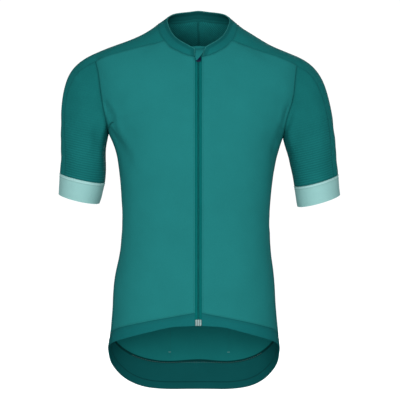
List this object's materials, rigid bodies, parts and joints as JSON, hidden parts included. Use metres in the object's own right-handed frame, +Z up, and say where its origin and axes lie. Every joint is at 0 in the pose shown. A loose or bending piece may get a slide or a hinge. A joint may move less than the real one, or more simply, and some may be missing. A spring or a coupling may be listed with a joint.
{
  "type": "cycling jersey",
  "caption": "Short-sleeved cycling jersey with a full-length zip, stand collar, contrast sleeve bands, rear pockets and a dropped tail, held open as if worn.",
  "frame": {"origin": "between the shoulders, at the height of the side of the neck, on the zip's line", "axes": "+Z up the garment, +X towards the wearer's left sleeve, -Y towards the front"},
  "size_m": [0.5506, 0.2347, 0.7568],
  "materials": {
    "knit": "smooth fine knit with a soft sheen",
    "shoulder": "fine ribbed knit",
    "rib": "knit with fine level ribs",
    "band": "firm elastic band",
    "cuff": "pale elastic band",
    "tape": "woven zip tape",
    "guard": "smooth knit",
    "navy": "dark satin lacquer",
    "mint": "pale satin"
  },
  "bodies": {
    "jersey": {"front_left": "knit", "front_right": "knit", "hem_front_left": "band", "hem_front_right": "band", "shoulder_sleeve_left": "shoulder", "shoulder_sleeve_right": "shoulder", "sleeve_front_left": "rib", "sleeve_front_right": "rib", "cuff_left": "cuff", "cuff_right": "cuff", "back_body": "knit", "tail_band": "band", "collar_band": "band", "pocket_panel": "knit", "zip_tape_left": "tape", "zip_tape_right": "tape", "zip_coil": "tape", "zip_guard": "guard", "zip_garage": "guard", "zip_slider": "navy", "zip_box": "mint"},
    "pull": {"zip_pull": "navy"}
  },
  "joints": [
    {"name": "pull_swing", "type": "hinge", "parent": "jersey", "child": "pull", "pos_m": [0, -0.0869, -0.0604], "axis": [-1, 0, 0], "range_deg": [0, 8]}
  ]
}
